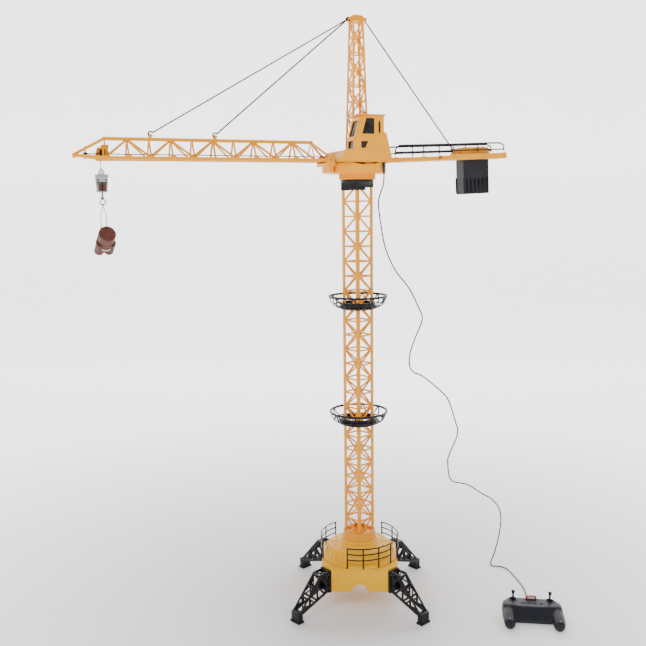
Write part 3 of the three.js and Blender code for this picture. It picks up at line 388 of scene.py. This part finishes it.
# ---------------------------------------------------------------- stage
def glowing_floor_paper():
    """Pale paper that gives off light of its own, none near the object and more with distance: a painted
    glow, with a painted contact shadow round the object where the glow fades out.
    """
    n = Nodes("glowing_floor_paper")
    n.link(n.ramp(n.noise(3, 3, 0.5), [(0.3, (0.90, 0.90, 0.90)), (0.7, (0.93, 0.93, 0.93))]),
           n.shader.inputs["Base Color"])
    n.shader.inputs["Roughness"].default_value = 0.8
    n.shader.inputs["Emission Color"].default_value = (1, 1, 1, 1)
    far = n.tree.nodes.new("ShaderNodeVectorMath")
    far.operation = "LENGTH"
    n.link(n.where, far.inputs[0])
    # painted glow and painted shadow: the floor glows more the further it is from the object, and not at all
    # beside it
    n.link(n.spread(far.outputs["Value"], 0.0, 2.0, 0.12, 1.7), n.shader.inputs["Emission Strength"])
    return n.material


def stage():
    """A floor that sweeps up into a backdrop, the room's light and three lamps."""
    near, flat, sweep, high, half_wide, drop = -6.0, 2.6, 1.2, 5.0, 8.0, 0.0002
    profile = [(near, 0.0), (flat, 0.0)]
    for k in range(1, 13):
        a = k * math.pi / 24
        profile.append((flat + sweep * math.sin(a), sweep * (1 - math.cos(a))))
    profile.append((flat + sweep, high))
    bm = bmesh.new()
    rows = [[bm.verts.new((x, y, z - drop)) for x in (-half_wide, half_wide)] for y, z in profile]
    for a, b in zip(rows, rows[1:]):
        bm.faces.new((a[0], a[1], b[1], b[0]))
    mesh = from_bmesh(bm, "floor")
    mesh.shade_smooth()
    mesh.materials.append(glowing_floor_paper())
    loose("floor", mesh)
    world = bpy.data.worlds.new("studio")
    world.use_nodes = True
    background = world.node_tree.nodes["Background"]
    background.inputs["Color"].default_value = (1, 1, 1, 1)
    background.inputs["Strength"].default_value = 0.5
    bpy.context.scene.world = world
    for name, place, aim, size, power in (
            ("key", (-1.6, -2.4, 2.6), (0, 0, 0.6), 1.6, 46),
            ("fill", (2.2, -1.6, 1.6), (0, 0, 0.7), 1.8, 16),
            ("rim", (0.6, 2.0, 2.4), (0, 0, 0.8), 1.5, 8)):
        data = bpy.data.lights.new(name, "AREA")
        data.shape = "SQUARE"
        data.size = size
        data.energy = power
        lamp = loose(name, data)
        lamp.location = place
        lamp.rotation_euler = (Vector(aim) - Vector(place)).to_track_quat("-Z", "Y").to_euler()


# ---------------------------------------------------------------- shapes in millimetres
def turned(bm, profile, steps=32, place=Matrix(), loop=False):
    """A piece turned about Z from (radius, height) pairs; loop=True leaves a bore through it."""
    rings = []
    for radius, height in profile:
        ring = []
        for k in range(steps):
            a = 2 * math.pi * k / steps
            ring.append(place @ Vector((radius * math.cos(a), radius * math.sin(a), height)))
        rings.append(ring)
    skin(bm, rings, loop)


def extruded(bm, points, low, high, place=Matrix()):
    """A flat outline in X and Z, pulled from y=low to y=high."""
    skin(bm, [[place @ Vector((x, y, z)) for x, z in points] for y in (low, high)])


def block(bm, low, high, place=Matrix()):
    """A box from its low corner to its high one."""
    outline = [(low[0], low[2]), (high[0], low[2]), (high[0], high[2]), (low[0], high[2])]
    extruded(bm, outline, low[1], high[1], place)


def spun(angle):
    return Matrix.Rotation(angle, 4, "Z")


def make(name, bm, slot, body, place, edge=0.0003, angle=35):
    """Turns a mesh drawn in millimetres into a finished piece in its place."""
    piece = put(name, from_bmesh(bm, name), slot, body, place @ IN_MM)
    return round_edges(piece, edge, angle)


def paint(piece, place, slots, choose):
    """Gives each face of a piece the finish that choose(centre in millimetres) numbers."""
    for slot in slots:
        piece.data.materials.append(M[slot])
    back = (place @ IN_MM).inverted()
    for polygon in piece.data.polygons:
        polygon.material_index = choose(back @ polygon.center)


def screws(name, places, body, place, radius=1.7):
    """Pan-head screws with a cross recess, each at (x, y, z) and facing along a direction."""
    bm = bmesh.new()
    for point, facing in places:
        spot = Matrix.Translation(point) @ Vector(facing).to_track_quat("Z", "Y").to_matrix().to_4x4()
        turned(bm, [(radius, -0.6), (radius, 0.1), (radius * 0.8, 0.55), (radius * 0.45, 0.75)], 16, spot)
        for turn in (0, math.pi / 2):
            block(bm, (-radius * 0.6, -0.14, 0.6), (radius * 0.6, 0.14, 0.95), spot @ spun(turn))
    return make(name, bm, "steel", body, place, 0.00008)


# ---------------------------------------------------------------- base
def deck_ribs():
    bm = bmesh.new()
    count = 28
    outer = [(69, 103.5), (77.4, 103.5), (73.5, 118.6), (69, 121)]
    inner = [(47, 126), (49, 128.4), (64, 125.6), (64, 123)]
    for i in range(count):
        extruded(bm, outer, -1.0, 1.0, spun(2 * math.pi * (i + 0.5) / count))
    for i in range(8):
        extruded(bm, inner, -1.1, 1.1, spun(math.pi * i / 4))
    make("deck_ribs", bm, "bright_amber", "base", FIXED)


def housing_mouldings():
    """On each of the four sides: two uprights, a top band and a rim round the arch."""
    face, proud = -83, -84.8
    angles = [math.pi * k / 16 for k in range(17)]
    arch = [(24 * math.cos(a), 46 + 20 * math.sin(a)) for a in angles]
    arch += [(21.6 * math.cos(a), 46 + 17.6 * math.sin(a)) for a in reversed(angles)]
    bm = bmesh.new()
    for side in range(4):
        turn = spun(math.pi * side / 2)
        for x in (-46, 46):
            block(bm, (x - 1.2, proud, 50), (x + 1.2, face, 91), turn)
        block(bm, (-57, proud, 91), (57, face, 93.4), turn)
        extruded(bm, arch, proud, face, turn)
    make("housing_mouldings", bm, "bright_amber", "base", FIXED)


def base_details():
    deck_ribs()
    housing_mouldings()
    places = []
    for i in range(8):
        a = math.pi * (i + 0.5) / 4
        places.append(((58 * math.cos(a), 58 * math.sin(a), 125.6), (0, 0, 1)))
    screws("deck_screws", places, "base", FIXED)
    places = []
    for i in range(4):
        turn = spun(math.pi * (i / 2 + 0.25))
        for y in (-12, 12):
            for z in (52, 84):
                places.append((turn @ Vector((109, y, z)), turn @ Vector((1, 0, 0))))
    screws("leg_screws", places, "base", FIXED, 1.5)


def platform(node, height):
    """A bowl of bowed struts between a ring round the tower and a wide rim."""
    place = FIXED @ Matrix.Translation((0, 0, height * MM))
    bm = bmesh.new()
    collar = [(34, -7.5), (37.6, -7.5), (38.2, -5), (38.6, 5), (39, 7.5), (34, 7.5)]
    rim = [(61.4, 18.8), (62, 18.4), (64.4, 18.4), (65, 19), (65, 22.5), (64.4, 23), (62, 23), (61.4, 22.4)]
    turned(bm, collar, 64, loop=True)
    turned(bm, rim, 72, loop=True)
    turned(bm, [(37.5, -6.5), (47, -3.6), (47, -2.2), (37.5, -4.6)], 64, loop=True)
    turned(bm, [(53.2, 1.2), (55.2, 1.2), (56.2, 3.4), (54.2, 3.4)], 64, loop=True)
    struts, half_wide, half_thick = 20, 1.5, 0.9
    bow = [(37, -4.5), (44, -3.6), (50, -1.2), (55, 2.6), (58.6, 7.4), (61.4, 13.4), (63.1, 20.5)]
    for i in range(struts):
        start = 2 * math.pi * i / struts
        lean = (1 if i % 2 == 0 else -1) * 2 * math.pi / struts * 0.9
        rings = []
        for k, (radius, z) in enumerate(bow):
            a = start + lean * (k / (len(bow) - 1) - 0.5)
            out = Vector((math.cos(a), math.sin(a), 0))
            along = Vector((-math.sin(a), math.cos(a), 0))
            middle = out * radius + Vector((0, 0, z))
            rings.append([
                middle + along * half_wide + out * half_thick, middle - along * half_wide + out * half_thick,
                middle - along * half_wide - out * half_thick, middle + along * half_wide - out * half_thick])
        skin(bm, rings)
    piece = make(node + "_bowl", bm, "black", "base", place, 0.0003, 40)
    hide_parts(node)


# ---------------------------------------------------------------- upper works
def upper_details():
    """Ribs round the turntable, raised lines on the cab's near side, ribs and vents on the counter-jib."""
    bm = bmesh.new()
    count = 44
    for i in range(count):
        block(bm, (37, -0.9, 945.3), (39.3, 0.9, 954.8), spun(2 * math.pi * i / count))
    turned(bm, [(61.5, 956.2), (62.7, 956.2), (62.7, 957.6), (61.5, 957.6)], 72, loop=True)
    make("turntable_ribs", bm, "amber", "upper_works", SLEWING)
    bm = bmesh.new()
    near = 57
    for x in (33.2, -49.5):
        extruded(bm, [(x - 0.7, 1003), (x + 0.7, 1003), (x * 0.9 + 0.7, 1024), (x * 0.9 - 0.7, 1024)],
                 near - 0.5, near + 0.5)
    block(bm, (-42, near - 0.5, 1029), (30, near + 0.5, 1030.4))
    block(bm, (-19.4, near - 0.5, 1003), (-18.2, near + 0.5, 1068))
    block(bm, (-57, near - 0.6, 977.4), (61, near + 0.6, 979.4))
    block(bm, (-52, near - 0.6, 999), (54, near + 0.6, 1001.5))
    make("cab_mouldings", bm, "amber", "upper_works", SLEWING, 0.0002)
    bm = bmesh.new()
    for i in range(7):
        for y in (-16.3, 16.3):
            block(bm, (-259 + i * 10.6, y - 0.7, -73), (-256.8 + i * 10.6, y + 0.7, -38))
    make("counterweight_ribs", bm, "black", "upper_works", COUNTER)
    bm = bmesh.new()
    for i in range(5):
        block(bm, (-250 + i * 12, -18, 27.6), (-246 + i * 12, 18, 29.2))
    make("winch_box_vents", bm, "amber", "upper_works", COUNTER)


# ---------------------------------------------------------------- hook block and load
def hook_block():
    """The block painted by face: a pale top, its own finish in the middle, black and brown lower down."""
    piece = refine("hook_block")
    own, pale, black, brown = range(4)

    def finish(centre):
        if centre.z > 951.6:
            return pale
        if centre.z > 946.4:
            return own
        if centre.z < 934.4 and abs(centre.y) < 4.6 and abs(centre.x) < 7:
            return brown
        return black if centre.z < 940 and abs(centre.y) < 5.8 else own

    paint(piece, ROPE_LINE, ("pale", "black", "brown"), finish)
    bm = bmesh.new()
    for side in (-1, 1):
        low, high = sorted((side * 5.8, side * 6.8))
        for x in (-7.4, 7.4):
            spot = Matrix.Translation((x, 0, 941)) @ Matrix.Rotation(-math.pi / 2, 4, "X")
            turned(bm, [(1.6, low), (1.6, high)], 16, spot)
        block(bm, (-9.6, low, 934.5), (9.6, high, 937))
        block(bm, (-1, low, 920), (1, high, 934.5))
    make("hook_block_frame", bm, "black", "block", ROPE_LINE, 0.0002)


# a log's end from the rim in: (share of the radius, mm past the end)
LOG_ENDS = [
    (1.0, 0.0), (0.95, -0.5), (0.93, -0.1), (0.80, 0.0), (0.78, 0.45), (0.64, 0.45), (0.62, 0.0),
    (0.48, 0.0), (0.46, 0.45), (0.32, 0.45), (0.30, 0.0), (0.16, 0.0), (0.14, 0.5), (0.03, 0.5)]


def log(bm, start, way, length, radius, seed):
    """One log: ridged bark along its length, and growth rings raised on both ends."""
    way = way.normalized()
    side = way.cross(Vector((0, 0, 1))).normalized()
    up = side.cross(way)
    steps, rows = 56, 16

    def ring(s, r, rough):
        points = []
        for k in range(steps):
            a = 2 * math.pi * k / steps
            ridge = noise.noise(Vector((math.cos(a) * 4.5, math.sin(a) * 4.5, s * 0.06 + seed)))
            knot = noise.noise(Vector((math.cos(a) * 1.6, math.sin(a) * 1.6, s * 0.11 - seed)))
            here = r * (0.965 + rough * (0.05 * ridge + 0.03 * knot))
            points.append(start + way * s + (side * math.cos(a) + up * math.sin(a)) * here)
        return points

    near = [ring(-dz, radius * share, 0.2) for share, dz in LOG_ENDS[::-1]]
    bark = [ring(length * (k + 0.5) / rows, radius, 1.0) for k in range(rows)]
    far = [ring(length + dz, radius * share, 0.2) for share, dz in LOG_ENDS]
    count = len(LOG_ENDS)
    skin(bm, near + bark + far, material=lambda row: 1 if row < count - 1 or row > count + rows - 1 else 0)


def load():
    """One long log and two short ones beneath its rear half, with the strap and the bail's eyes."""
    front = Vector((-3, 23, 840))
    way = Vector((0.06, -0.84, -0.52)).normalized()
    side = way.cross(Vector((0, 0, 1))).normalized()
    below = way.cross(side).normalized()
    bm = bmesh.new()
    log(bm, front, way, 45.5, 16.8, 1.0)
    for across, seed in ((9.3, 5.0), (-9.3, 9.0)):
        log(bm, front + way * 24 + below * 6 + side * across, way, 32.5, 9.7, seed)
    piece = make("logs", bm, "bark", "load", ROPE_LINE, 0.0002, 50)
    piece.data.materials.append(M["log_end"])
    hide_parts("log_bundle")
    turn = Matrix.Translation(front) @ way.to_track_quat("Z", "Y").to_matrix().to_4x4()
    bm = bmesh.new()
    for s in (33.8, 36.2):
        band = [(16.3, s - 0.9), (17.3, s - 0.9), (17.5, s), (17.3, s + 0.9), (16.3, s + 0.9)]
        turned(bm, band, 48, turn, loop=True)
    make("log_strap", bm, "cream", "load", ROPE_LINE, 0.0001)
    bm = bmesh.new()
    for end in (-1, 1):
        spot = Matrix.Translation((end * 5.5, end * 1.5, 0))
        turned(bm, [(1.7, 838), (1.7, 846.5), (1.3, 848), (1.3, 853), (0.9, 853.6)], 16, spot)
    make("bail_eyes", bm, "steel", "load", ROPE_LINE, 0.0002)


# ---------------------------------------------------------------- handset
def applied(piece, name):
    """The mesh of a piece with its modifiers worked in, and the piece itself gone."""
    bpy.context.view_layer.update()
    graph = bpy.context.evaluated_depsgraph_get()
    mesh = bpy.data.meshes.new_from_object(piece.evaluated_get(graph))
    mesh.name = name
    bpy.data.objects.remove(piece)
    return mesh


def hull_of(bm, points):
    verts = [bm.verts.new(p) for p in points]
    bmesh.ops.convex_hull(bm, input=verts, use_existing_faces=False)
    bmesh.ops.delete(bm, geom=[v for v in verts if v.is_valid and not v.link_faces], context="VERTS")


def ball_points(centre, size):
    points = []
    for i in range(1, 8):
        lift = math.pi * (i / 8 - 0.5)
        for k in range(14):
            a = 2 * math.pi * k / 14
            points.append(Vector(centre) + Vector((
                size * math.cos(lift) * math.cos(a),
                size * math.cos(lift) * math.sin(a),
                size * math.sin(lift))))
    return points


SEAM = 16.0
SEAM_GAP = 0.15  # each shell stops this far from the seam
TOP = 33.0
STICKS = [(-39, 18), (39, 18)]
BUTTONS = [(x, 4) for x in (-18.9, -6.3, 6.3, 18.9)]
GRIP_SCREWS = [(-51.5, -52), (51.5, -52)]
CORE_SIDE = [
    (47, 29, 30.5), (45, 27, TOP), (62, 6, 31), (61, 20, 27), (60, -6, TOP - 1), (38, -10, TOP), (65, -2, 20),
    (50, 29, 14), (60, -24, 20), (40, -31, 14), (58, -18, 2), (55, 22, 2), (42, -29, 2)]
GRIP_BALLS = [((50, -4, 17), 14.5), ((52, -30, 15.5), 13), ((51.5, -51, 12.6), 12.4)]


def handset_solid():
    """The whole handset as one mesh: hulls of the middle and the two grips, melted together and smoothed."""
    core = [Vector((side * x, y, z)) for side in (-1, 1) for x, y, z in CORE_SIDE]
    core += [Vector((x, -14.5 + abs(x) * 0.09, TOP - 0.3)) for x in (-24, -8, 8, 24)]
    core += [Vector((x, -33, 12)) for x in (-20, 20)]
    parts = [core]
    for side in (-1, 1):
        grip = []
        for (x, y, z), size in GRIP_BALLS:
            grip += ball_points((side * x, y, z), size)
        parts.append(grip)
    lumps = []
    for points in parts:
        bm = bmesh.new()
        hull_of(bm, points)
        mesh = from_bmesh(bm, "lump")
        mesh.transform(IN_MM)
        lumps.append(loose("lump", mesh))
    body = lumps[0]
    for lump in lumps[1:]:
        add = body.modifiers.new("join", "BOOLEAN")
        add.operation = "UNION"
        add.solver = "EXACT"
        add.object = lump
    melt = body.modifiers.new("melt", "REMESH")
    melt.mode = "VOXEL"
    melt.voxel_size = 0.0012
    calm = body.modifiers.new("calm", "SMOOTH")
    calm.factor = 0.5
    calm.iterations = 34
    whole = applied(body, "handset_whole")
    for lump in lumps[1:]:
        bpy.data.objects.remove(lump)
    return whole


def slab_of(mesh, name, low, high, share):
    """The part of a mesh between two heights, closed where it is cut and drawn in to a share of its size."""
    bm = bmesh.new()
    bm.from_mesh(mesh)
    for height, keep in ((low, 1), (high, -1)):
        every = bm.verts[:] + bm.edges[:] + bm.faces[:]
        bmesh.ops.bisect_plane(bm, geom=every, plane_co=(0, 0, height * MM), plane_no=(0, 0, -keep),
                               clear_outer=True)
        rim = [edge for edge in bm.edges if edge.is_boundary]
        if rim:
            bmesh.ops.edgeloop_fill(bm, edges=rim)
    bmesh.ops.scale(bm, vec=(share, share, 1), verts=bm.verts)
    return from_bmesh(bm, name)


def upper_wells(bm):
    for places, radius, depth in ((STICKS, 6.2, 23), (BUTTONS, 3.9, 25.5)):
        for x, y in places:
            turned(bm, [(radius, depth), (radius, TOP - 0.6), (radius + 1.6, TOP + 3)], 40,
                   Matrix.Translation((x, y, 0)))


def lower_wells(bm):
    for x, y in GRIP_SCREWS:
        turned(bm, [(2.4, -2), (2.4, 4)], 20, Matrix.Translation((x, y, 0)))


def handset_shell(node, whole, low, high, share, wells):
    """One half of the handset, with its wells cut out."""
    shell = loose(node + "_draft", slab_of(whole, node, low, high, share))
    bm = bmesh.new()
    wells(bm)
    mesh = from_bmesh(bm, "tool")
    mesh.transform(IN_MM)
    tool = loose("tool", mesh)
    take = shell.modifiers.new("wells", "BOOLEAN")
    take.operation = "DIFFERENCE"
    take.solver = "EXACT"
    take.object = tool
    mesh = applied(shell, node + "_shell")
    bpy.data.objects.remove(tool)
    mesh.shade_smooth()
    mesh.set_sharp_from_angle(angle=math.radians(42))
    piece = put(node + "_shell", mesh, "gloss_black", "base", HANDSET)
    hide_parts(node)


def handset():
    whole = handset_solid()
    handset_shell("handset_upper", whole, SEAM + SEAM_GAP, 60, 1.0, upper_wells)
    handset_shell("handset_lower", whole, 0.3, SEAM - SEAM_GAP, 0.985, lower_wells)
    collar = [(7.9, TOP - 1.6), (10.4, TOP - 1.6), (10.0, TOP + 0.5), (8.6, TOP + 0.9), (7.9, TOP + 0.4)]
    bm = bmesh.new()
    for x, y in STICKS:
        turned(bm, collar, 40, Matrix.Translation((x, y, 0)), loop=True)
    make("stick_collars", bm, "black", "base", HANDSET)
    bm = bmesh.new()
    extruded(bm, [(-13, TOP - 1.5), (12.5, TOP - 1.5), (9.8, 40.4), (-10.3, 40.4)], 21.5, 25)
    make("handset_badge", bm, "red", "base", HANDSET, 0.0005)
    bm = bmesh.new()
    extruded(bm, [(-8.6, 34.4), (8.2, 34.4), (7.2, 38.6), (-7.6, 38.6)], 21, 21.8)
    make("handset_badge_panel", bm, "pale", "base", HANDSET, 0.0002)
    end, before = Vector(CORD_ROUTE[-1]), Vector(CORD_ROUTE[-2])
    turn = Matrix.Translation(end) @ (before - end).to_track_quat("Z", "Y").to_matrix().to_4x4()
    bm = bmesh.new()
    turned(bm, [(1.75, -1), (3.4, -1), (3.2, 1.5), (2.2, 9), (1.75, 9)], 24, turn, loop=True)
    make("cord_gland", bm, "black", "base", FIXED, 0.0002)
    places = [((x, y, 24.0), (0, 0, 1)) for x, y in GRIP_SCREWS]
    screws("grip_screws", places, "base", HANDSET, 2.2)


def hoist_rope():
    x, y = ROPE_LINE.translation.x, ROPE_LINE.translation.y
    rows = 40
    points = [(x, y, ROPE_HIGH - k * (ROPE_HIGH - ROPE_LOW) / rows) for k in range(rows + 1)]
    mesh, _ = tube_mesh("hoist_rope", points, 0.0008, 10, 1)
    rope = put("hoist_rope", mesh, "string")
    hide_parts("hoist_rope_fall")
    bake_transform(rope)


camera()
refine("cord_relief")
control_cord()
REMADE = {"control_cord", "cord_relief", "hoist_rope_fall", "platform_lower", "platform_upper",
          "handset_upper", "handset_lower", "log_bundle", "hook_block"}
for node in sorted(set(frame["nodes"]) - REMADE):
    refine(node)
base_details()
platform("platform_lower", TOWER_FOOT + 8 * TOWER_PANEL)
platform("platform_upper", TOWER_FOOT + 16 * TOWER_PANEL)
upper_details()
hook_block()
load()
handset()
hoist_rope()
stage()
